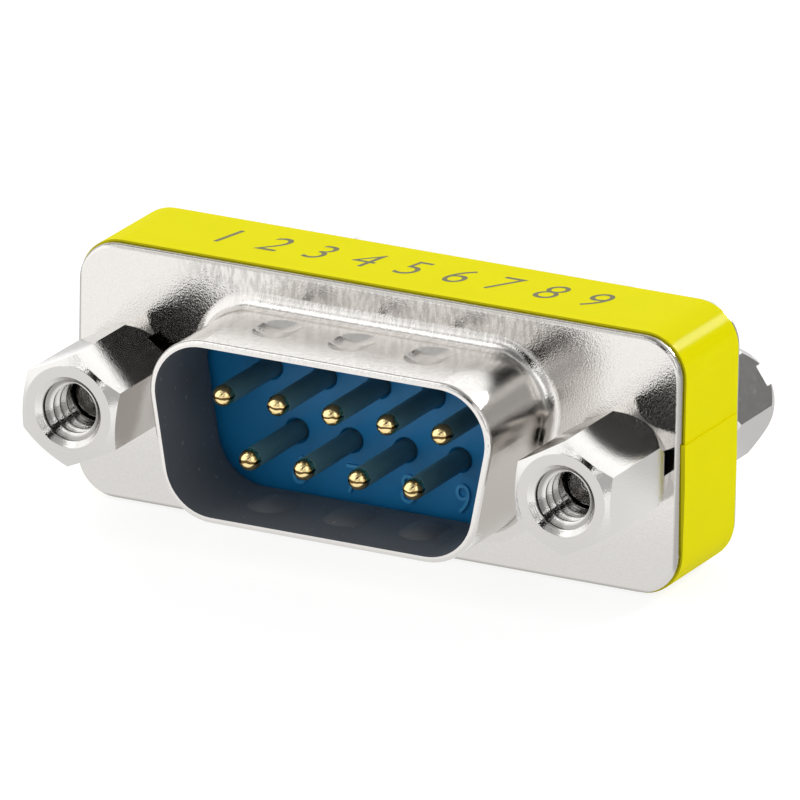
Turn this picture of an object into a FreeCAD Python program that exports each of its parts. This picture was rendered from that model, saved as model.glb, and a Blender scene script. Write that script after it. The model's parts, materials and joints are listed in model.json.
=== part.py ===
import FreeCAD
import Part

import math
import os

# A nine-pin D-subminiature gender changer with a plug at each end.
# Two drawn steel shells lie back to back under a wrap label. Each holds an insulator with
# nine pins, which are soldered to one circuit board between them. Two jack bolts from the
# rear run through the whole stack into two jack nuts at the front.
# Millimetres. X runs across the connector, Y from the front plug to the rear plug, Z up.
# The origin is under the middle of the housing, on the label face that it stands on.

# Housing, made of the two drawn shells
housing_width = 30.6
housing_height = 12.25
housing_depth = 6.3
housing_corner = 1.95
sheet = 0.35
bend_inside = 0.1
bend_outside = 0.2
seam_gap = 0.1

# From a jack's axis to the housing's side, and to the opening at half its height
jack_to_side = 2.8
jack_to_opening = 4.4

# D-shaped opening, and the spigot that is drawn forward from the plate round it
opening_height = 8.05
opening_corner = 2.35
side_slope = 10.0
spigot_wall = 0.3
spigot_depth = 5.7
root_radius = 0.7
rim_round = 0.2

# Grounding dimples pressed into the top and bottom walls of the spigot, as many as keep
# this least distance from the middle of a dimple to the opening's side
dimple_pitch = 3.85
dimple_to_side = 4.0
dimple_from_plate = 2.45
dimple_width = 1.9
dimple_length = 2.7
dimple_depth = 0.26

# Pins, as many in the wide row as keep this least distance from a pin's axis to the
# opening's side, and one fewer in the narrow row
pin_pitch = 2.77
row_pitch = 2.84
pin_to_side = 2.2
pin_diameter = 1.0
pin_reach = 4.85
collar_diameter = 1.5
collar_length = 0.35
tail_diameter = 0.7

# Insulators and the circuit board between them
board_thickness = 0.9
stack_gap = 0.05
solder_depth = 0.9
pocket_margin = 1.5
pocket_corner = 0.75
pin_hole_clearance = 0.02
funnel_diameter = 1.26
funnel_depth = 0.15
solder_diameter = 1.3
solder_height = 0.45

# Jack hardware with number 4-40 threads, which are plain here: a shank and an empty bore
# have the outside diameter, and a stud in its nut the pitch diameter, which the nut clears
thread_diameter = 2.84
pitch_diameter = 2.43
thread_clearance = 0.08
plate_hole_diameter = 3.05
across_flats = 4.76
corner_clearance = 0.15
end_circle_diameter = 4.4
end_chamfer_angle = 35.0
slotted_end_diameter = 4.7
slotted_end_taper = 20.0
countersink_diameter = 3.4
countersink_depth = 0.28
nut_length = 6.26
bolt_head_length = 4.7
bolt_bore_depth = 3.9
thread_engagement = 3.5
stud_chamfer = 0.2
drill_point_angle = 118.0
slot_width = 1.05
slot_depth = 0.6

# Corner and slot angles of each hexagon, from +X towards +Z, as they were tightened
left_nut_corner = 26.0
left_nut_slot = 50.0
right_nut_corner = 30.0
right_nut_slot = 10.0
left_bolt_corner = 22.0
left_bolt_slot = 75.0
right_bolt_corner = 5.0
right_bolt_slot = 35.0

# Wrap label, whose end laps over its beginning on the right-hand side
label_thickness = 0.1
label_width = 5.4
lap_edge_height = 1.15
lap_length = 2.0
lap_skew = 0.2

# Sizes and places that follow from the ones above
jack_pitch = housing_width - 2 * jack_to_side
opening_width = jack_pitch - 2 * jack_to_opening
top_row_pins = 1 + int((opening_width - 2 * pin_to_side) / pin_pitch)
bottom_row_pins = top_row_pins - 1
dimples_each_side = int((opening_width / 2 - dimple_to_side) / dimple_pitch)
side_lean = math.tan(math.radians(side_slope))
centre_z = label_thickness + housing_height / 2
plate_y = -housing_depth / 2
rim_y = plate_y - spigot_depth
inner_plate_y = plate_y + sheet
board_face_y = -board_thickness / 2
cavity_width = housing_width - 2 * sheet
cavity_height = housing_height - 2 * sheet
cavity_corner = housing_corner - sheet
pocket_floor_y = board_face_y - solder_depth
thread_radius = thread_diameter / 2
stud_radius = pitch_diameter / 2
stud_end_y = plate_y - thread_engagement

# How far a cut runs on past the face that it opens
past = 1.0


def vec(x, y, z):
    return FreeCAD.Vector(x, y, z)


def edges_along_y(shape):
    """The straight edges of a prism that run in the Y direction."""
    found = []
    for edge in shape.Edges:
        start = edge.Vertexes[0].Point
        end = edge.Vertexes[-1].Point
        if abs(start.x - end.x) < 1e-6 and abs(start.z - end.z) < 1e-6:
            found.append(edge)
    return found


def edges_at_y(shape, y, half_width=math.inf):
    """The edges that lie in one plane across Y, no further out than half_width."""
    found = []
    for edge in shape.Edges:
        box = edge.BoundBox
        in_plane = abs(box.YMin - y) < 1e-4 and abs(box.YMax - y) < 1e-4
        if in_plane and max(abs(box.XMin), abs(box.XMax)) < half_width:
            found.append(edge)
    return found


def rounded_block(width, height, corner, y_start, y_end):
    """A block with rounded corners, centred on the housing."""
    low_corner = vec(-width / 2, y_start, centre_z - height / 2)
    block = Part.makeBox(width, y_end - y_start, height, low_corner)
    return block.makeFillet(corner, edges_along_y(block))


def d_block(width, height, corner, y_start, y_end):
    """A prism of the D outline: wide side up, width taken at half its height."""
    lean = height / 2 * side_lean
    top = centre_z + height / 2
    bottom = centre_z - height / 2
    corners = [
        vec(-width / 2 - lean, y_start, top),
        vec(width / 2 + lean, y_start, top),
        vec(width / 2 - lean, y_start, bottom),
        vec(-width / 2 + lean, y_start, bottom),
    ]
    face = Part.Face(Part.makePolygon(corners + corners[:1]))
    prism = face.extrude(vec(0, y_end - y_start, 0))
    return prism.makeFillet(corner, edges_along_y(prism))


def turned(profile, x, z):
    """A solid of revolution about Y, from points given as radius and y."""
    points = [vec(x + radius, y, z) for radius, y in profile]
    face = Part.Face(Part.makePolygon(points + points[:1]))
    return face.revolve(vec(x, 0, z), vec(0, 1, 0), 360)


def rod(x, z, radius, y_start, y_end):
    return Part.makeCylinder(radius, y_end - y_start, vec(x, y_start, z), vec(0, 1, 0))


def pin_places():
    """The pins' x and z in numbered order: the wide row from the left, then the narrow one."""
    places = []
    for count, side in ((top_row_pins, 1), (bottom_row_pins, -1)):
        first_x = -(count - 1) * pin_pitch / 2
        for place in range(count):
            places.append((first_x + place * pin_pitch, centre_z + side * row_pitch / 2))
    return places


def jack_places():
    return (-jack_pitch / 2, jack_pitch / 2)


def dimple_form(x, side, grow):
    """A lens that cuts the dimple's hollow, or with grow the bulge on the wall's inside."""
    sink = dimple_depth
    bowl = (dimple_width ** 2 / 4 + sink ** 2) / (2 * sink) + grow
    wall_z = centre_z + side * (opening_height / 2 + spigot_wall)
    axis_z = wall_z + side * (bowl - grow - sink)
    y = plate_y - dimple_from_plate
    straight = dimple_length - dimple_width
    lens = rod(x, axis_z, bowl, y - straight / 2, y + straight / 2)
    for end_y in (y - straight / 2, y + straight / 2):
        lens = lens.fuse(Part.makeSphere(bowl, vec(x, end_y, axis_z)))
    length = dimple_length + 2 * grow
    span = 2 * (sink + grow)
    wall_part = Part.makeBox(2 * bowl, length, 2 * span,
                             vec(x - bowl, y - length / 2, wall_z - span))
    return lens.common(wall_part)


def dimples(grow):
    """All the dimples of one spigot, a row in its top wall and a row in its bottom wall."""
    forms = []
    for side in (1, -1):
        for step in range(-dimples_each_side, dimples_each_side + 1):
            forms.append(dimple_form(step * dimple_pitch, side, grow))
    return forms


def shell():
    """One drawn shell: a plate with a D spigot forward and a skirt back to the seam."""
    seam_y = -seam_gap / 2
    outside = rounded_block(housing_width, housing_height, housing_corner, plate_y, seam_y)
    outside = outside.makeFillet(bend_outside, edges_at_y(outside, plate_y))
    side_wall = spigot_wall / math.cos(math.radians(side_slope))
    spigot_width = opening_width + 2 * side_wall
    spigot_height = opening_height + 2 * spigot_wall
    spigot_corner = opening_corner + spigot_wall
    spigot = d_block(spigot_width, spigot_height, spigot_corner, rim_y, inner_plate_y)
    outside = outside.fuse(spigot)
    widest = (spigot_width + spigot_height * side_lean) / 2
    outside = outside.makeFillet(root_radius, edges_at_y(outside, plate_y, widest))
    outside = outside.makeFillet(rim_round, edges_at_y(outside, rim_y))

    cavity = rounded_block(cavity_width, cavity_height, cavity_corner, inner_plate_y, seam_y + past)
    cavity = cavity.makeFillet(bend_inside, edges_at_y(cavity, inner_plate_y))
    bore = d_block(opening_width, opening_height, opening_corner, rim_y - past, inner_plate_y + sheet)
    inside = cavity.fuse(bore)
    inside = inside.makeFillet(root_radius + sheet, edges_at_y(inside, inner_plate_y, widest))
    inside = inside.cut(dimples(spigot_wall))

    body = outside.cut(inside).cut(dimples(0))
    holes = [rod(x, centre_z, plate_hole_diameter / 2, plate_y - past, 0) for x in jack_places()]
    return body.cut(holes)


def plate_and_spigot():
    """The shell as two solids of one sheet, which meet in the plate's outer face."""
    whole = shell()
    corner = vec(-housing_width / 2, rim_y - past, centre_z - housing_height / 2)
    before_plate = Part.makeBox(housing_width, spigot_depth + past, housing_height, corner)
    return whole.cut(before_plate), whole.common(before_plate)


def stack_block(y_start, y_end, front_round=0):
    """A block that fills the shells' cavity, with the two holes for the jack bolts.

    Its front edges are rounded where it has to clear the bend of a plate."""
    block = rounded_block(cavity_width - 2 * stack_gap, cavity_height - 2 * stack_gap,
                          cavity_corner - stack_gap, y_start, y_end)
    if front_round > 0:
        block = block.makeFillet(front_round, edges_at_y(block, y_start))
    hole_radius = plate_hole_diameter / 2
    return block.cut([rod(x, centre_z, hole_radius, y_start - past, y_end + past)
                      for x in jack_places()])


def insulator():
    """The moulded block that holds nine pins, hollow behind for the solder joints."""
    body = stack_block(inner_plate_y, board_face_y, bend_inside)
    pocket_width = (top_row_pins - 1) * pin_pitch + 2 * pocket_margin
    pocket_height = row_pitch + 2 * pocket_margin
    pocket = rounded_block(pocket_width, pocket_height, pocket_corner,
                           pocket_floor_y, board_face_y + past)
    cuts = [pocket]
    hole_radius = pin_diameter / 2 + pin_hole_clearance
    funnel_radius = funnel_diameter / 2
    for x, z in pin_places():
        cuts.append(turned([
            (0, inner_plate_y - past),
            (funnel_radius, inner_plate_y - past),
            (funnel_radius, inner_plate_y),
            (hole_radius, inner_plate_y + funnel_depth),
            (hole_radius, pocket_floor_y + past / 2),
            (0, pocket_floor_y + past / 2),
        ], x, z))
    return body.cut(cuts)


def pin(x, z):
    """One pin: round nose, contact shaft, collar behind the insulator and solder tail."""
    radius = pin_diameter / 2
    nose_y = inner_plate_y - sheet - pin_reach
    half = radius * math.sin(math.radians(45))
    nose = Part.Arc(vec(x, nose_y, z), vec(x + half, nose_y + radius - half, z),
                    vec(x + radius, nose_y + radius, z))
    points = [
        vec(x + radius, nose_y + radius, z),
        vec(x + radius, pocket_floor_y, z),
        vec(x + collar_diameter / 2, pocket_floor_y, z),
        vec(x + collar_diameter / 2, pocket_floor_y + collar_length, z),
        vec(x + tail_diameter / 2, pocket_floor_y + collar_length, z),
        vec(x + tail_diameter / 2, board_face_y, z),
        vec(x, board_face_y, z),
        vec(x, nose_y, z),
    ]
    face = Part.Face(Part.Wire([nose.toShape()] + Part.makePolygon(points).Edges))
    return face.revolve(vec(x, 0, z), vec(0, 1, 0), 360)


def solder_joint(x, z, side):
    """A cone of solder round a pin's tail, on the board's front (-1) or rear (1) face."""
    face_y = side * board_thickness / 2
    tail_radius = tail_diameter / 2
    return turned([
        (tail_radius, face_y),
        (solder_diameter / 2, face_y),
        (tail_radius, face_y + side * solder_height),
    ], x, z)


def circuit_board():
    """The board that joins each front pin to the rear pin of the same number."""
    board = stack_block(board_face_y, -board_face_y)
    joints = [solder_joint(x, z, side) for x, z in pin_places() for side in (-1, 1)]
    return board.fuse(joints)


def wrap_label():
    """The printed strip round the housing, with its end lapped over on the right."""
    outer_width = housing_width + 2 * label_thickness
    outer_height = housing_height + 2 * label_thickness
    outer_corner = housing_corner + label_thickness
    half = label_width / 2
    band = rounded_block(outer_width, outer_height, outer_corner, -half, half)
    band = band.cut(rounded_block(housing_width, housing_height, housing_corner,
                                  -half - past, half + past))
    skin_x = housing_width / 2
    outer_x = outer_width / 2
    edge_z = centre_z + lap_edge_height
    fade_z = centre_z - housing_height / 2 + housing_corner
    section = [
        vec(skin_x, -half - past, edge_z),
        vec(outer_x + label_thickness, -half - past, edge_z),
        vec(outer_x + label_thickness, -half - past, edge_z - lap_length),
        vec(outer_x, -half - past, fade_z),
        vec(skin_x, -half - past, fade_z),
    ]
    lap = Part.Face(Part.makePolygon(section + section[:1])).extrude(vec(0, label_width + 2 * past, 0))
    slanted = [
        vec(0, -half - lap_skew, edge_z),
        vec(0, half - lap_skew, edge_z),
        vec(0, half, fade_z),
        vec(0, -half, fade_z),
    ]
    trim = Part.Face(Part.makePolygon(slanted + slanted[:1])).extrude(vec(housing_width, 0, 0))
    return band.fuse(lap.common(trim)).removeSplitter()


def hexagon_bar(x, corner_angle, y_start, y_end):
    """A length of hexagon bar, chamfered at its start and turned to a taper at its end."""
    corner_radius = across_flats / math.sqrt(3)
    points = []
    for corner in range(6):
        angle = math.radians(corner_angle + 60 * corner)
        points.append(vec(x + corner_radius * math.cos(angle), y_start,
                          centre_z + corner_radius * math.sin(angle)))
    face = Part.Face(Part.makePolygon(points + points[:1]))
    bar = face.extrude(vec(0, y_end - y_start, 0))
    end_radius = end_circle_diameter / 2
    slotted_radius = slotted_end_diameter / 2
    full_radius = corner_radius + corner_clearance
    chamfer = (full_radius - end_radius) * math.tan(math.radians(end_chamfer_angle))
    taper = (full_radius - slotted_radius) / math.tan(math.radians(slotted_end_taper))
    barrel = turned([
        (0, y_start),
        (end_radius, y_start),
        (full_radius, y_start + chamfer),
        (full_radius, y_end - taper),
        (slotted_radius, y_end),
        (0, y_end),
    ], x, centre_z)
    return bar.common(barrel)


def countersunk_mouth(mouth_y, inward):
    """The first points of a threaded bore's cut, from outside its mouth to the thread."""
    sink_radius = countersink_diameter / 2
    return [
        (0, mouth_y - inward * past),
        (sink_radius, mouth_y - inward * past),
        (sink_radius, mouth_y),
        (thread_radius, mouth_y + inward * countersink_depth),
    ]


def nut_bore(x, mouth_y):
    """A bore right through a nut: empty to the stud's end, then round the stud."""
    engaged_radius = stud_radius + thread_clearance / 2
    return turned(countersunk_mouth(mouth_y, 1) + [
        (thread_radius, stud_end_y),
        (engaged_radius, stud_end_y),
        (engaged_radius, plate_y + past),
        (0, plate_y + past),
    ], x, centre_z)


def bolt_bore(x, mouth_y):
    """A blind bore in a bolt's head, ending in a drill point."""
    floor_y = mouth_y - bolt_bore_depth
    point = thread_radius / math.tan(math.radians(drill_point_angle / 2))
    return turned(countersunk_mouth(mouth_y, -1) + [
        (thread_radius, floor_y),
        (0, floor_y - point),
    ], x, centre_z)


def driver_slot(x, face_y, slot_angle):
    """The cut of a screwdriver slot right across a hexagon's end."""
    length = 2 * across_flats
    cut = Part.makeBox(length, 2 * slot_depth, slot_width,
                       vec(x - length / 2, face_y - slot_depth, centre_z - slot_width / 2))
    cut.rotate(vec(x, 0, centre_z), vec(0, 1, 0), -slot_angle)
    return cut


def jack_nut(x, corner_angle, slot_angle):
    """A hexagon nut against the front plate, its slotted end turned to the plate."""
    mouth_y = plate_y - nut_length
    body = hexagon_bar(x, corner_angle, mouth_y, plate_y)
    return body.cut([nut_bore(x, mouth_y), driver_slot(x, plate_y, slot_angle)])


def jack_bolt(x, corner_angle, slot_angle):
    """A bolt: a slotted, threaded hexagon head, a shank through the housing and a stud."""
    seat_y = -plate_y
    mouth_y = seat_y + bolt_head_length
    head = hexagon_bar(x, corner_angle, seat_y, mouth_y)
    stud = turned([
        (0, stud_end_y),
        (stud_radius - stud_chamfer, stud_end_y),
        (stud_radius, stud_end_y + stud_chamfer),
        (stud_radius, plate_y),
        (thread_radius, plate_y),
        (thread_radius, seat_y),
        (0, seat_y),
    ], x, centre_z)
    body = head.fuse(stud)
    return body.cut([bolt_bore(x, mouth_y), driver_slot(x, mouth_y, slot_angle)])


def at_end(shape, turn):
    """The shape as built for the front end, or turned about Z to the rear end."""
    placed = shape.copy()
    placed.rotate(vec(0, 0, 0), vec(0, 0, 1), turn)
    return placed


def gender_changer():
    """Every piece by its name."""
    left_x, right_x = jack_places()
    pieces = {}
    for end, turn in (("front", 0), ("rear", 180)):
        plate, spigot = plate_and_spigot()
        pieces[end + "_shell"] = at_end(plate, turn)
        pieces[end + "_spigot"] = at_end(spigot, turn)
        pieces[end + "_insulator"] = at_end(insulator(), turn)
        for number, (x, z) in enumerate(pin_places(), start=1):
            pieces[end + "_pin_" + str(number)] = at_end(pin(x, z), turn)
    pieces["circuit_board"] = circuit_board()
    pieces["wrap_label"] = wrap_label()
    pieces["left_jack_nut"] = jack_nut(left_x, left_nut_corner, left_nut_slot)
    pieces["right_jack_nut"] = jack_nut(right_x, right_nut_corner, right_nut_slot)
    pieces["left_jack_bolt"] = jack_bolt(left_x, left_bolt_corner, left_bolt_slot)
    pieces["right_jack_bolt"] = jack_bolt(right_x, right_bolt_corner, right_bolt_slot)
    return pieces


os.makedirs("parts", exist_ok=True)
for name, shape in gender_changer().items():
    shape.exportStep("parts/" + name + ".step")
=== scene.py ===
# A nine-pin D-sub gender changer on a white table, seen as in the photograph.
# The frame's axes: +X right, +Y from the front plug to the rear plug, +Z up. Blender's unit
# is the metre. Sizes are written in millimetres, and MM turns them into metres.
import json
import math

import bmesh
import bpy
from mathutils import Matrix, Vector


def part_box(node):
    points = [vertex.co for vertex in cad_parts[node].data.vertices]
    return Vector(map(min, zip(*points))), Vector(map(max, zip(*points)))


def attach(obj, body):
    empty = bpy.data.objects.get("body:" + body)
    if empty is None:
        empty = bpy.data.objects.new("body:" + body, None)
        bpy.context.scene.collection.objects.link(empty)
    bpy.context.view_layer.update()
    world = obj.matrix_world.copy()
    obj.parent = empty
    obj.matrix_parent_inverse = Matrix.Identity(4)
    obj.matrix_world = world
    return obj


MM = 0.001

# The camera: turned to the right, raised and rolled, at a long focal length
CAMERA_TURN = 26.43
CAMERA_RISE = 18.63
CAMERA_ROLL = 1.04
CAMERA_DISTANCE = 818.4
CAMERA_OFFSET = (1.12, 0.81)
CAMERA_LENS = 810.5
CAMERA_SENSOR = 36.0

# The studio: a grey room with bright and dark panels, each over the ones before it. A panel
# is given by the direction of its middle, its turn in degrees, half its width and height
# as sines, its softness and its brightness.
ROOM_LIGHT = 0.62
PANELS = (
    ((-0.77, -0.54, 0.31), 0.0, 0.52, 0.38, 0.08, 1.45),
    ((0.79, -0.46, 0.42), 0.0, 0.21, 0.32, 0.06, 1.50),
    ((-0.17, -0.84, 0.51), 0.0, 0.10, 0.13, 0.05, 1.80),
    ((-0.14, 0.94, 0.28), 0.0, 0.62, 0.42, 0.08, 1.50),
    ((0.24, 0.72, 0.65), 0.0, 0.16, 0.13, 0.06, 1.60),
    ((0.48, 0.84, 0.24), 0.0, 0.15, 0.22, 0.07, 0.17),
    ((0.15, -0.30, 0.94), 0.0, 0.28, 0.25, 0.10, 0.22),
    ((0.25, -0.80, 0.54), 35.0, 0.38, 0.20, 0.05, 0.012),
    ((0.35, -0.83, 0.43), 41.0, 0.33, 0.035, 0.02, 2.20),
)

# The lamps: name, place and width in millimetres, and power in watts
LAMP_TARGET = (0, 0, 6)
LAMPS = (
    ("key", (-250, -150, 420), 260, 0.25),
    ("rim", (128, 340, 168), 70, 0.5),
)

# The floor's glow, first to the camera, then in the metal: near the object, far in front
# of it and behind it. Each of the last two fades in between its two places along Y.
FLOOR_HALF_SIZE = 3000.0
FLOOR_GLOW = 0.84
# In the metal the floor glows dimmer near the object and behind it than far in front: a painted shadow.
FLOOR_NEAR = 0.95
FLOOR_FAR = 1.22
FLOOR_BEHIND = 0.62
FAR_PLACE = (-8.0, -24.0)
BEHIND_PLACE = (8.0, 14.0)

# Colours, in linear light
WHITE = (1.0, 1.0, 1.0, 1.0)
BLACK = (0.0, 0.0, 0.0, 1.0)
FLOOR_COLOUR = (0.93, 0.925, 0.915, 1.0)
FLOOR_SHADE = (0.22, 0.22, 0.22, 1.0)
SHELL_LIGHT = (0.72, 0.70, 0.675, 1.0)
SHELL_DEEP = (0.64, 0.62, 0.595, 1.0)
SHELL_WORN = (0.49, 0.475, 0.455, 1.0)
# Painted shade on the plate's bends
SHELL_BEND_SHADE = (0.42, 0.405, 0.38, 1.0)
SHELL_SEAM = (0.20, 0.175, 0.13, 1.0)
# Painted shade inside the spigots, and the paler specks in it
SHELL_INSIDE_SHADE = (0.130, 0.137, 0.147, 1.0)
SHELL_SHADE_SPECK = (0.24, 0.245, 0.25, 1.0)
BAR_LIGHT = (0.70, 0.685, 0.665, 1.0)
BAR_DEEP = (0.61, 0.595, 0.575, 1.0)
# Painted shade on the end faces
BAR_END_SHADE = (0.53, 0.515, 0.495, 1.0)
# Painted shade in the bores
BAR_BORE_SHADE = (0.26, 0.25, 0.24, 1.0)
GOLD = (0.98, 0.77, 0.38, 1.0)
GOLD_LINE_DARK = (0.10, 0.06, 0.02, 1.0)
# Painted shade on the pins' shafts
PIN_SHAFT_SHADE = (0.085, 0.185, 0.220, 1.0)
BLUE_DEEP = (0.005, 0.22, 0.54, 1.0)
BLUE_LIGHT = (0.008, 0.27, 0.64, 1.0)
# Painted highlight on the raised numerals
BLUE_NUMERAL_HIGHLIGHT = (0.06, 0.42, 0.82, 1.0)
BOARD_DEEP = (0.01, 0.10, 0.04, 1.0)
BOARD_LIGHT = (0.02, 0.16, 0.07, 1.0)
YELLOW_DEEP = (0.84, 0.775, 0.002, 1.0)
YELLOW_LIGHT = (0.88, 0.815, 0.003, 1.0)
YELLOW_EDGE = (0.66, 0.60, 0.01, 1.0)
INK_DEEP = (0.075, 0.070, 0.006, 1.0)
INK_LIGHT = (0.16, 0.145, 0.008, 1.0)

# Where one look gives way to another on the shells: each pair is a fade's beginning and end.
# The streaks and the specks go by the value of a noise, and the rest is in millimetres.
SPIGOT_INSIDE = (-0.8, -2.0)
TOP_HEIGHT = (3.6, 5.6)
TOP_ENDS = (11.0, 8.0)
WORN_STREAKS = (0.66, 0.36)
SPECKS = (0.72, 0.75)
BEND_FROM_RIM = (-0.22, -0.08)
SEAM_FROM_LABEL = (0.09, 0.03)

# The same on the nuts and bolts. The end faces and the bores' walls go by how far their
# normal points along Y.
TURNED_RADIUS = (2.25, 2.15)
END_FACE = (0.90, 0.98)
BORE_WALL = (0.95, 0.8)
BORE_FROM_WALL = (0.04, 0.01)
ROOT_FROM_CREST = (0.05, 0.20)
# The painted shade in the bores grows over this depth, and this much of it lies in the thread's roots
BORE_SHADE_DEPTH = (0.7, 2.8)
BORE_SHADE_IN_ROOTS = 0.85

# The nuts' flats fall away slightly towards their mouths. The fall begins at this distance
# from the middle, is CROWN_BEND a millimetre further out, and grows by the square.
CROWN_START = 5.2
CROWN_BEND = 0.018

# The cut edges of the label, by how far their normal points along Y
LABEL_EDGE = (0.5, 0.8)

# The gold at a pin's end, ahead of the shaft's painted shade, and the dark line across it
NOSE_LENGTH = 0.70
NOSE_FADE = 0.05
NOSE_LINE = (0.09, 0.04)
NOSE_LINE_WANDER = 0.25

# Number 4-40 thread: a ridge that winds along each bore's wall
THREAD_PITCH = 0.635
BORE_RADIUS = 1.42
CREST_RADIUS = 1.12
CREST_WIDTH = 0.09
ROOT_WIDTH = 0.56
RIDGE_SINK = 0.02
COUNTERSINK_DEPTH = 0.28
BOLT_BORE_DEPTH = 3.9
STEPS_PER_TURN = 60
RUN_OUT_TURNS = 0.25

# Every digit is made thinner and narrower than the font gives it
STROKE_TRIM = 0.008
DIGIT_NARROWING = 0.86

# Raised pin numbers on the insulators
PIN_PITCH = 2.77
ROW_PITCH = 2.84
TOP_ROW = "12345"
BOTTOM_ROW = "6789"
NUMERAL_HEIGHT = 1.38
NUMERAL_RELIEF = 0.08
NUMERAL_SIDE_SHIFT = 0.215
NUMERAL_ROW_SHIFT = 1.80
NUMERAL_FADE = (0.01, 0.05)

# Digits printed on top of the label
PRINT_DIGITS = "123456789"
PRINT_HEIGHT = 2.0
PRINT_START = -9.3
PRINT_STEP = 2.35
PRINT_MIDDLE = 0.2
PRINT_SLANT = 0.25
PRINT_LIFT = 0.004

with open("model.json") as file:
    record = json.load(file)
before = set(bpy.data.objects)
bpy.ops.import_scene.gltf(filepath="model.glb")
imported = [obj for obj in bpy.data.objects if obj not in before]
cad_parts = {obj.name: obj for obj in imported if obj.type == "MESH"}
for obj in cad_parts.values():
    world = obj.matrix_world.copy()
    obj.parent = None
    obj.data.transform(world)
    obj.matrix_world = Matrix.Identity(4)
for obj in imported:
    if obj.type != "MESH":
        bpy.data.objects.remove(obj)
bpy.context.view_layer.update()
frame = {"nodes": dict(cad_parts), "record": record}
nodes = frame["nodes"]


def box_mm(node):
    """A node's lowest and highest corner in millimetres."""
    low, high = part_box(node)
    return low / MM, high / MM


label_high = box_mm("wrap_label")[1]
shell_low, shell_high = box_mm("front_shell")
nut_low, nut_high = box_mm("right_jack_nut")
bolt_low, bolt_high = box_mm("right_jack_bolt")
CENTRE_Z = (shell_low.z + shell_high.z) / 2
SHELL_HALF_WIDTH = shell_high.x
SHELL_HALF_HEIGHT = shell_high.z - CENTRE_Z
LABEL_EDGE_Y = label_high.y
LABEL_TOP_Z = label_high.z
JACK_X = (nut_low.x + nut_high.x) / 2
NUT_MOUTH_Y = nut_low.y
PLATE_Y = nut_high.y
STUD_END_Y = bolt_low.y
BOLT_MOUTH_Y = bolt_high.y
PIN_END_Y = box_mm("front_pin_1")[0].y
INSULATOR_FACE_Y = box_mm("front_insulator")[0].y


class Nodes:
    """A node tree that grows by short calls, most of which give back the new node's output."""

    def __init__(self, tree):
        self.tree = tree

    def feed(self, value, socket):
        """Links a socket to another one, or sets it to a number, a vector or a colour."""
        if isinstance(value, bpy.types.NodeSocket):
            self.tree.links.new(value, socket)
        else:
            socket.default_value = value

    def add(self, kind, inputs=(), **settings):
        """The outputs of a new node. Its inputs are pairs of a socket's name or index and a value."""
        node = self.tree.nodes.new(kind)
        for name, value in settings.items():
            setattr(node, name, value)
        for socket, value in inputs:
            self.feed(value, node.inputs[socket])
        return node.outputs

    def math(self, operation, a, b=0.0):
        return self.add("ShaderNodeMath", ((0, a), (1, b)), operation=operation)[0]

    def size(self, value):
        """The value without its sign."""
        return self.math("ABSOLUTE", value)

    def plus(self, a, b):
        return self.math("ADD", a, b)

    def minus(self, a, b):
        return self.math("SUBTRACT", a, b)

    def times(self, a, b):
        return self.math("MULTIPLY", a, b)

    def length(self, across, up):
        """The length of a vector with these two parts."""
        return self.math("SQRT", self.plus(self.times(across, across), self.times(up, up)))

    def along(self, vector, axis):
        """How far a vector reaches along an axis of length 1."""
        pair = ((0, vector), (1, axis))
        return self.add("ShaderNodeVectorMath", pair, operation="DOT_PRODUCT")["Value"]

    def scaled(self, vector, factors):
        """The vector times a factor for each axis."""
        return self.add("ShaderNodeVectorMath", ((0, vector), (1, factors)), operation="MULTIPLY")[0]

    def parts(self, vector):
        """The three parts of a vector."""
        return self.add("ShaderNodeSeparateXYZ", ((0, vector),))

    def step(self, value, low, high):
        """0 up to low, 1 from high, and smooth between them. Low may be the larger one."""
        ends = (("Value", value), ("From Min", low), ("From Max", high))
        return self.add("ShaderNodeMapRange", ends, interpolation_type="SMOOTHSTEP")["Result"]

    def number(self, factor, a, b):
        """A number from a at factor 0 to b at factor 1."""
        return self.add("ShaderNodeMix", ((0, factor), (2, a), (3, b)))[0]

    def colour(self, factor, a, b):
        """A colour from a at factor 0 to b at factor 1."""
        return self.add("ShaderNodeMix", ((0, factor), (6, a), (7, b)), data_type="RGBA")[2]


class Surface(Nodes):
    """A material's nodes, with coordinates in millimetres."""

    def __init__(self, name):
        self.material = bpy.data.materials.new(name)
        self.material.use_nodes = True
        super().__init__(self.material.node_tree)
        self.shader = self.tree.nodes["Principled BSDF"]
        self.place = self.scaled(self.add("ShaderNodeTexCoord")["Object"], (1 / MM, 1 / MM, 1 / MM))
        self.x, self.y, self.z = self.parts(self.place)
        self.normal = self.parts(self.add("ShaderNodeNewGeometry")["Normal"])

    def height(self):
        """The height above the connector's middle."""
        return self.minus(self.z, CENTRE_Z)

    def noise(self, scale, detail=2.0, stretch=(1.0, 1.0, 1.0), place=None):
        """Noise with about scale features to the millimetre."""
        vector = self.scaled(place or self.place, stretch)
        return self.add("ShaderNodeTexNoise", (("Vector", vector), ("Scale", scale), ("Detail", detail)))[0]

    def relief(self, height, depth, below=None):
        """A normal bent by a height from 0 to 1 that stands for depth in millimetres."""
        inputs = [("Strength", 1.0), ("Distance", depth * MM), ("Height", height)]
        if below is not None:
            inputs.append(("Normal", below))
        return self.add("ShaderNodeBump", inputs)[0]

    def finish(self, **values):
        """Sets the shader's inputs, named with _ for each space, and returns the material."""
        for name, value in values.items():
            self.feed(value, self.shader.inputs[name.replace("_", " ")])
        return self.material


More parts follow.
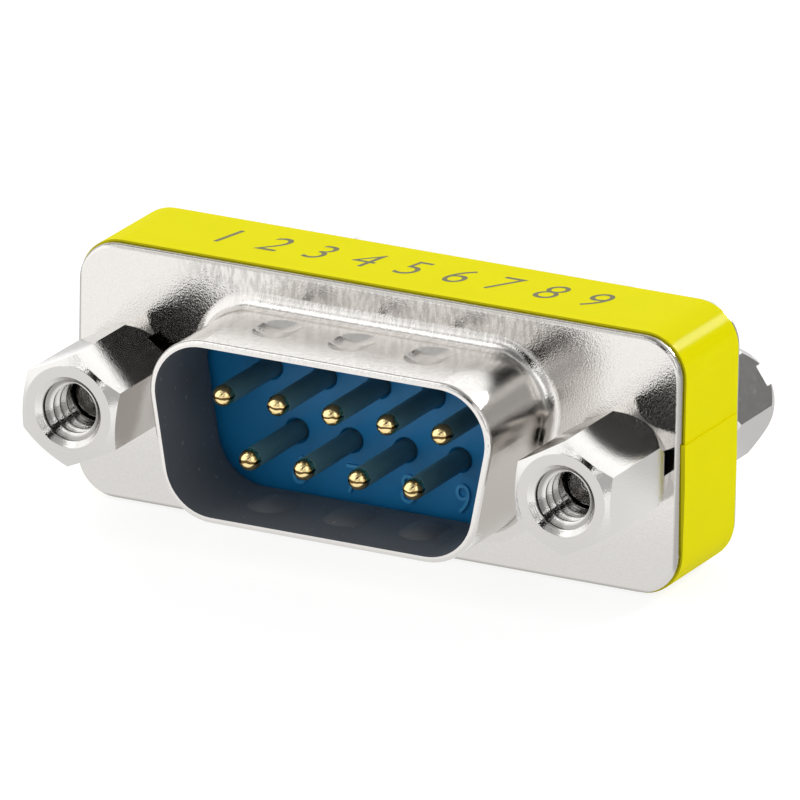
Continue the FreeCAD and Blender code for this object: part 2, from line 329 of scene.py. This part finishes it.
def nickel_shell():
    """Nickel on drawn steel: finely grained, rubbed along the top, and painted darker on the bends as
    painted shade.

    Inside the spigots it is painted dark as painted shade, with a few paler specks. Beside the label's edge
    it is darker."""
    surface = Surface("nickel_shell")
    height = surface.height()
    from_middle = surface.size(surface.x)
    grain = surface.noise(scale=12.5, detail=2.5)
    streaks = surface.noise(scale=1.0, detail=3.0, stretch=(6.0, 2.0, 1.8))
    bare = surface.colour(grain, SHELL_LIGHT, SHELL_DEEP)

    near_top = surface.step(height, *TOP_HEIGHT)
    worn = surface.times(near_top, surface.step(from_middle, *TOP_ENDS))
    worn = surface.times(worn, surface.step(streaks, *WORN_STREAKS))
    bare = surface.colour(worn, bare, SHELL_WORN)

    past_rim = surface.math("MAXIMUM",
                            surface.minus(from_middle, SHELL_HALF_WIDTH),
                            surface.minus(surface.size(height), SHELL_HALF_HEIGHT))
    # The plate's outer bends are painted darker: painted shade.
    bare = surface.colour(surface.step(past_rim, *BEND_FROM_RIM), bare, SHELL_BEND_SHADE)

    # A thin band of the shell beside the label's edge is darker.
    past_label = surface.minus(surface.size(surface.y), LABEL_EDGE_Y)
    bare = surface.colour(surface.step(past_label, *SEAM_FROM_LABEL), bare, SHELL_SEAM)

    # Inside the spigots the nickel is painted dark and nearly matt, a painted shade, with a few paler
    # specks.
    specks = surface.step(surface.noise(scale=3.2, detail=1.0), *SPECKS)
    dark = surface.colour(specks, SHELL_INSIDE_SHADE, SHELL_SHADE_SPECK)
    outward = surface.plus(surface.times(surface.normal[0], surface.x),
                           surface.times(surface.normal[2], height))
    inside = surface.step(outward, *SPIGOT_INSIDE)
    below = surface.relief(surface.times(streaks, near_top), depth=0.004)
    return surface.finish(
        Base_Color=surface.colour(inside, bare, dark),
        Metallic=surface.number(inside, 1.0, 0.1),
        Roughness=surface.number(inside, surface.number(grain, 0.06, 0.16), 0.5),
        Normal=surface.relief(grain, depth=0.008, below=below))


def nickel_hardware():
    """Nickel on turned hexagon bar: drawn along the flats and turned at the ends. Painted shade darkens the
    end faces, and the bores deep inside and in the thread's roots.

    The nuts' flats fall away slightly towards their mouths."""
    surface = Surface("nickel_hardware")
    radius = surface.length(surface.minus(surface.size(surface.x), JACK_X), surface.height())
    facing = surface.size(surface.normal[1])
    grain = surface.noise(scale=12.5, detail=2.5)
    drawing_marks = surface.noise(scale=1.0, detail=3.0, stretch=(9.0, 0.7, 9.0))
    from_axis = surface.add("ShaderNodeCombineXYZ", ((0, radius),))[0]
    turning_marks = surface.noise(scale=1.0, detail=2.0, stretch=(16.0, 1.0, 1.0), place=from_axis)
    turned = surface.step(radius, *TURNED_RADIUS)
    in_bore = surface.step(surface.minus(radius, BORE_RADIUS), *BORE_FROM_WALL)

    # The end faces round the bores are painted darker: painted shade.
    end_shade = surface.times(surface.minus(turned, in_bore), surface.step(facing, *END_FACE))
    bright = surface.colour(grain, BAR_LIGHT, BAR_DEEP)
    bright = surface.colour(end_shade, bright, BAR_END_SHADE)

    # Painted shade in the bores: darker deeper in, and in the thread's roots.
    depth = surface.math("MINIMUM",
                         surface.minus(surface.y, NUT_MOUTH_Y),
                         surface.minus(BOLT_MOUTH_Y, surface.y))
    roots = surface.step(surface.minus(radius, CREST_RADIUS), *ROOT_FROM_CREST)
    bore_shade = surface.math("MAXIMUM", surface.step(depth, *BORE_SHADE_DEPTH), surface.times(roots, BORE_SHADE_IN_ROOTS))
    wall = surface.times(in_bore, surface.step(facing, *BORE_WALL))

    beyond = surface.math("MAXIMUM", surface.minus(-CROWN_START, surface.y), 0.0)
    crown = surface.times(surface.times(beyond, beyond), -CROWN_BEND)
    below = surface.relief(crown, depth=1.0)
    below = surface.relief(drawing_marks, depth=0.002, below=below)
    below = surface.relief(surface.times(turning_marks, turned), depth=0.012, below=below)
    return surface.finish(
        Base_Color=surface.colour(surface.times(wall, bore_shade), bright, BAR_BORE_SHADE),
        Metallic=1.0,
        Roughness=surface.number(grain, 0.05, 0.15),
        Normal=surface.relief(grain, depth=0.006, below=below))


def gold_pin():
    """Gold with a dark line across the pin's nose. Its shaft is painted dark slate and nearly matt, a
    painted shade.
    """
    surface = Surface("gold_pin")
    nose_start = -PIN_END_Y - NOSE_LENGTH
    nose = surface.step(surface.size(surface.y), nose_start, nose_start + NOSE_FADE)
    # A dark line across each nose at the height of its row.
    middling = surface.minus(surface.noise(scale=2.5, detail=1.0), 0.5)
    from_row = surface.minus(surface.size(surface.height()), ROW_PITCH / 2)
    from_line = surface.plus(from_row, surface.times(middling, NOSE_LINE_WANDER))
    gold = surface.colour(surface.step(surface.size(from_line), *NOSE_LINE), GOLD, GOLD_LINE_DARK)
    # The shaft behind the nose is painted dark slate: painted shade.
    return surface.finish(
        Base_Color=surface.colour(nose, PIN_SHAFT_SHADE, gold),
        Metallic=surface.number(nose, 0.1, 1.0),
        Roughness=surface.number(nose, 0.42, 0.17),
        Normal=surface.relief(surface.noise(scale=9.0), depth=0.007))


def blue_insulator():
    """Blue moulded polyester with a fine satin grain. The raised numerals are painted paler, a painted
    highlight.
    """
    surface = Surface("blue_insulator")
    past_face = surface.plus(surface.size(surface.y), INSULATOR_FACE_Y)
    # The raised numerals are painted paler: a painted highlight.
    raised = surface.step(past_face, *NUMERAL_FADE)
    plain = surface.colour(surface.noise(scale=0.5), BLUE_DEEP, BLUE_LIGHT)
    return surface.finish(
        Base_Color=surface.colour(raised, plain, BLUE_NUMERAL_HIGHLIGHT),
        Roughness=0.42,
        Normal=surface.relief(surface.noise(scale=14.0), depth=0.003))


def circuit_board():
    """Green solder mask with a faint glass weave."""
    surface = Surface("board")
    weave = surface.noise(scale=4.0, detail=1.0)
    return surface.finish(
        Base_Color=surface.colour(weave, BOARD_DEEP, BOARD_LIGHT),
        Roughness=0.4,
        Normal=surface.relief(weave, depth=0.003))


def yellow_label():
    """Yellow vinyl film: satin, slightly uneven, and darker at its cut edges."""
    surface = Surface("yellow_label")
    edge = surface.step(surface.size(surface.normal[1]), *LABEL_EDGE)
    film = surface.colour(surface.noise(scale=0.35, detail=3.0), YELLOW_DEEP, YELLOW_LIGHT)
    return surface.finish(
        Base_Color=surface.colour(edge, film, YELLOW_EDGE),
        Specular_IOR_Level=0.0,
        Coat_Weight=0.06,
        Coat_Roughness=0.15,
        Roughness=surface.number(surface.noise(scale=6.0), 0.28, 0.40),
        Normal=surface.relief(surface.noise(scale=1.2), depth=0.006))


def label_ink():
    """Dark olive printing ink, a little worn."""
    surface = Surface("label_ink")
    wear = surface.noise(scale=5.0, detail=3.0)
    return surface.finish(
        Base_Color=surface.colour(wear, INK_DEEP, INK_LIGHT),
        Roughness=0.5)


def paint_nodes(materials):
    """Gives every CAD node the material of its slot."""
    for part in frame["record"]["subparts"]:
        mesh = nodes[part["node"]].data
        mesh.materials.clear()
        mesh.materials.append(materials[part["material_slot"]])


def new_piece(name, mesh, material):
    """A mesh in millimetres as a piece that rides on the object."""
    mesh.transform(Matrix.Scale(MM, 4))
    mesh.materials.clear()
    mesh.materials.append(material)
    piece = bpy.data.objects.new(name, mesh)
    bpy.context.scene.collection.objects.link(piece)
    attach(piece, "root")
    return piece


def thread_ridge(name, x, mouth_y, length, inward, material):
    """The ridge of a right-hand thread, from a bore's countersink to length inside it.

    Its crest starts in line with the countersink's cone and ends in a short run-out."""
    foot = BORE_RADIUS + RIDGE_SINK
    count = int((length - COUNTERSINK_DEPTH) / THREAD_PITCH * STEPS_PER_TURN)
    mesh = bmesh.new()
    rings = []
    for step in range(count + 1):
        wound = THREAD_PITCH * step / STEPS_PER_TURN
        angle = inward * 2 * math.pi * step / STEPS_PER_TURN
        run_out = min(1.0, (count - step) / STEPS_PER_TURN / RUN_OUT_TURNS)
        crest = BORE_RADIUS - (BORE_RADIUS - max(CREST_RADIUS, BORE_RADIUS - wound)) * run_out
        section = ((foot, -ROOT_WIDTH / 2), (crest, -CREST_WIDTH / 2),
                   (crest, CREST_WIDTH / 2), (foot, ROOT_WIDTH / 2))
        ring = []
        for radius, shift in section:
            depth = min(length, max(COUNTERSINK_DEPTH, COUNTERSINK_DEPTH + wound + shift))
            across = x + radius * math.sin(angle)
            up = CENTRE_Z + radius * math.cos(angle)
            ring.append(mesh.verts.new((across, mouth_y + inward * depth, up)))
        rings.append(ring)
    for ring, following in zip(rings, rings[1:]):
        for corner in range(4):
            other = (corner + 1) % 4
            mesh.faces.new((ring[corner], ring[other], following[other], following[corner]))
    mesh.faces.new(rings[0])
    mesh.faces.new(rings[-1])
    bmesh.ops.recalc_face_normals(mesh, faces=mesh.faces)
    data = bpy.data.meshes.new(name)
    mesh.to_mesh(data)
    mesh.free()
    return new_piece(name, data, material)


def digit_mesh(digit, height, relief, slant):
    """One digit as a mesh in the XY plane, centred, height millimetres tall."""
    curve = bpy.data.curves.new("digit", "FONT")
    curve.body = digit
    curve.extrude = relief / 2
    curve.shear = slant
    curve.offset = -STROKE_TRIM
    text = bpy.data.objects.new("digit", curve)
    bpy.context.scene.collection.objects.link(text)
    bpy.context.view_layer.update()
    mesh = bpy.data.meshes.new_from_object(text.evaluated_get(bpy.context.evaluated_depsgraph_get()))
    bpy.data.objects.remove(text)
    low = Vector([min(v.co[axis] for v in mesh.vertices) for axis in range(3)])
    high = Vector([max(v.co[axis] for v in mesh.vertices) for axis in range(3)])
    size = height / (high.y - low.y)
    centring = Matrix.Translation(-(low + high) / 2)
    mesh.transform(Matrix.Diagonal((size * DIGIT_NARROWING, size, 1.0, 1.0)) @ centring)
    return mesh


def digits(name, places, height, relief, slant, material):
    """A piece of several digits, each at its place, which is a matrix in millimetres."""
    joined = bmesh.new()
    for digit, place in places:
        mesh = digit_mesh(digit, height, relief, slant)
        mesh.transform(place)
        joined.from_mesh(mesh)
    data = bpy.data.meshes.new(name)
    joined.to_mesh(data)
    joined.free()
    return new_piece(name, data, material)


def pin_numerals(name, turn, material):
    """The raised number beside each pin: above the wide row and below the narrow one."""
    upright = Matrix.Rotation(math.radians(90), 4, "X")
    to_end = Matrix.Rotation(math.radians(turn), 4, "Z")
    places = []
    for row, side in ((TOP_ROW, 1), (BOTTOM_ROW, -1)):
        for place, digit in enumerate(row):
            x = (place - (len(row) - 1) / 2) * PIN_PITCH + NUMERAL_SIDE_SHIFT
            z = CENTRE_Z + side * (ROW_PITCH / 2 + NUMERAL_ROW_SHIFT)
            spot = Matrix.Translation((x, INSULATOR_FACE_Y - NUMERAL_RELIEF / 2, z))
            places.append((digit, to_end @ spot @ upright))
    return digits(name, places, NUMERAL_HEIGHT, 2 * NUMERAL_RELIEF, 0.0, material)


def label_print(material):
    """A row of slanted digits on top of the label."""
    places = []
    for place, digit in enumerate(PRINT_DIGITS):
        x = PRINT_START + place * PRINT_STEP
        places.append((digit, Matrix.Translation((x, PRINT_MIDDLE, LABEL_TOP_Z))))
    return digits("label_print", places, PRINT_HEIGHT, 2 * PRINT_LIFT, PRINT_SLANT, material)


def add_camera():
    """The photograph's camera. It aims beside the front plate's middle by its offset."""
    turn = math.radians(CAMERA_TURN)
    rise = math.radians(CAMERA_RISE)
    roll = math.radians(CAMERA_ROLL)
    back = Vector((math.sin(turn) * math.cos(rise), -math.cos(turn) * math.cos(rise), math.sin(rise)))
    level = (-back).cross(Vector((0, 0, 1))).normalized()
    upward = level.cross(-back)
    right = math.cos(roll) * level + math.sin(roll) * upward
    up = math.cos(roll) * upward - math.sin(roll) * level
    aim = Vector((0, PLATE_Y, CENTRE_Z)) + CAMERA_OFFSET[0] * right + CAMERA_OFFSET[1] * up
    data = bpy.data.cameras.new("camera")
    data.lens = CAMERA_LENS
    data.sensor_width = CAMERA_SENSOR
    camera = bpy.data.objects.new("camera", data)
    axes = Matrix((right, up, back)).transposed().to_4x4()
    camera.matrix_world = Matrix.Translation((aim + CAMERA_DISTANCE * back) * MM) @ axes
    bpy.context.scene.collection.objects.link(camera)
    bpy.context.scene.camera = camera


def add_floor():
    """A large pale table top under the object.

    To the camera it glows white and takes a shadow. In the metal it only glows, and more dimly near the
    object and behind it: a painted shadow."""
    reach = FLOOR_HALF_SIZE * MM
    data = bpy.data.meshes.new("floor")
    data.from_pydata([(-reach, -reach, 0), (reach, -reach, 0), (reach, reach, 0), (-reach, reach, 0)],
                     [], [(0, 1, 2, 3)])
    surface = Surface("floor")
    rays = surface.add("ShaderNodeLightPath")
    seen = rays["Is Camera Ray"]
    mirrored = rays["Is Glossy Ray"]
    # The glow in the metal is dimmer near the object and behind it: a painted shadow.
    in_metal = surface.number(surface.step(surface.y, *FAR_PLACE), FLOOR_NEAR, FLOOR_FAR)
    in_metal = surface.number(surface.step(surface.y, *BEHIND_PLACE), in_metal, FLOOR_BEHIND)
    strength = surface.plus(surface.times(seen, FLOOR_GLOW), surface.times(mirrored, in_metal))
    glow = surface.add("ShaderNodeEmission", (("Strength", strength),))[0]
    shade = surface.colour(seen, FLOOR_COLOUR, FLOOR_SHADE)
    surface.finish(Base_Color=surface.colour(mirrored, shade, BLACK), Roughness=0.7)
    both = surface.add("ShaderNodeAddShader", ((0, surface.shader.outputs[0]), (1, glow)))[0]
    surface.feed(both, surface.tree.nodes["Material Output"].inputs["Surface"])
    data.materials.append(surface.material)
    floor = bpy.data.objects.new("floor", data)
    bpy.context.scene.collection.objects.link(floor)


def add_studio():
    """The world: the room's light and its panels, and white where the camera looks past."""
    world = bpy.data.worlds.new("studio")
    bpy.context.scene.world = world
    world.use_nodes = True
    world.node_tree.nodes.clear()
    room = Nodes(world.node_tree)
    direction = room.add("ShaderNodeTexCoord")["Generated"]
    light = ROOM_LIGHT
    for middle, turn, half_width, half_height, softness, brightness in PANELS:
        middle = Vector(middle).normalized()
        turning = Matrix.Rotation(math.radians(turn), 3, middle)
        across = turning @ middle.cross(Vector((0, 0, 1))).normalized()
        upward = across.cross(middle)
        inside = room.math("GREATER_THAN", room.along(direction, middle), 0.0)
        for axis, half in ((across, half_width), (upward, half_height)):
            off_middle = room.size(room.along(direction, axis))
            inside = room.times(inside, room.step(off_middle, half + softness, half - softness))
        light = room.number(inside, light, brightness)
    strength = room.number(room.add("ShaderNodeLightPath")["Is Camera Ray"], light, 1.0)
    background = room.add("ShaderNodeBackground", (("Color", WHITE), ("Strength", strength)))[0]
    room.add("ShaderNodeOutputWorld", (("Surface", background),))


def add_lamp(name, place, width, power):
    """A square soft light that shines on the connector."""
    data = bpy.data.lights.new(name, "AREA")
    data.size = width * MM
    data.energy = power
    lamp = bpy.data.objects.new(name, data)
    lamp.location = Vector(place) * MM
    lamp.rotation_mode = "QUATERNION"
    lamp.rotation_quaternion = (Vector(LAMP_TARGET) - Vector(place)).to_track_quat("-Z", "Y")
    bpy.context.scene.collection.objects.link(lamp)


materials = {
    "nickel_shell": nickel_shell(),
    "nickel_hardware": nickel_hardware(),
    "gold_pin": gold_pin(),
    "blue_insulator": blue_insulator(),
    "board": circuit_board(),
    "yellow_label": yellow_label(),
}
paint_nodes(materials)

hardware = materials["nickel_hardware"]
nut_length = STUD_END_Y - NUT_MOUTH_Y
for side, jack_x in (("left", -JACK_X), ("right", JACK_X)):
    thread_ridge(side + "_nut_thread", jack_x, NUT_MOUTH_Y, nut_length, 1, hardware)
    thread_ridge(side + "_bolt_thread", jack_x, BOLT_MOUTH_Y, BOLT_BORE_DEPTH, -1, hardware)
pin_numerals("front_numerals", 0, materials["blue_insulator"])
pin_numerals("rear_numerals", 180, materials["blue_insulator"])
label_print(label_ink())

add_camera()
add_floor()
add_studio()
for name, place, width, power in LAMPS:
    add_lamp(name, place, width, power)
bpy.context.scene.view_settings.view_transform = "Standard"
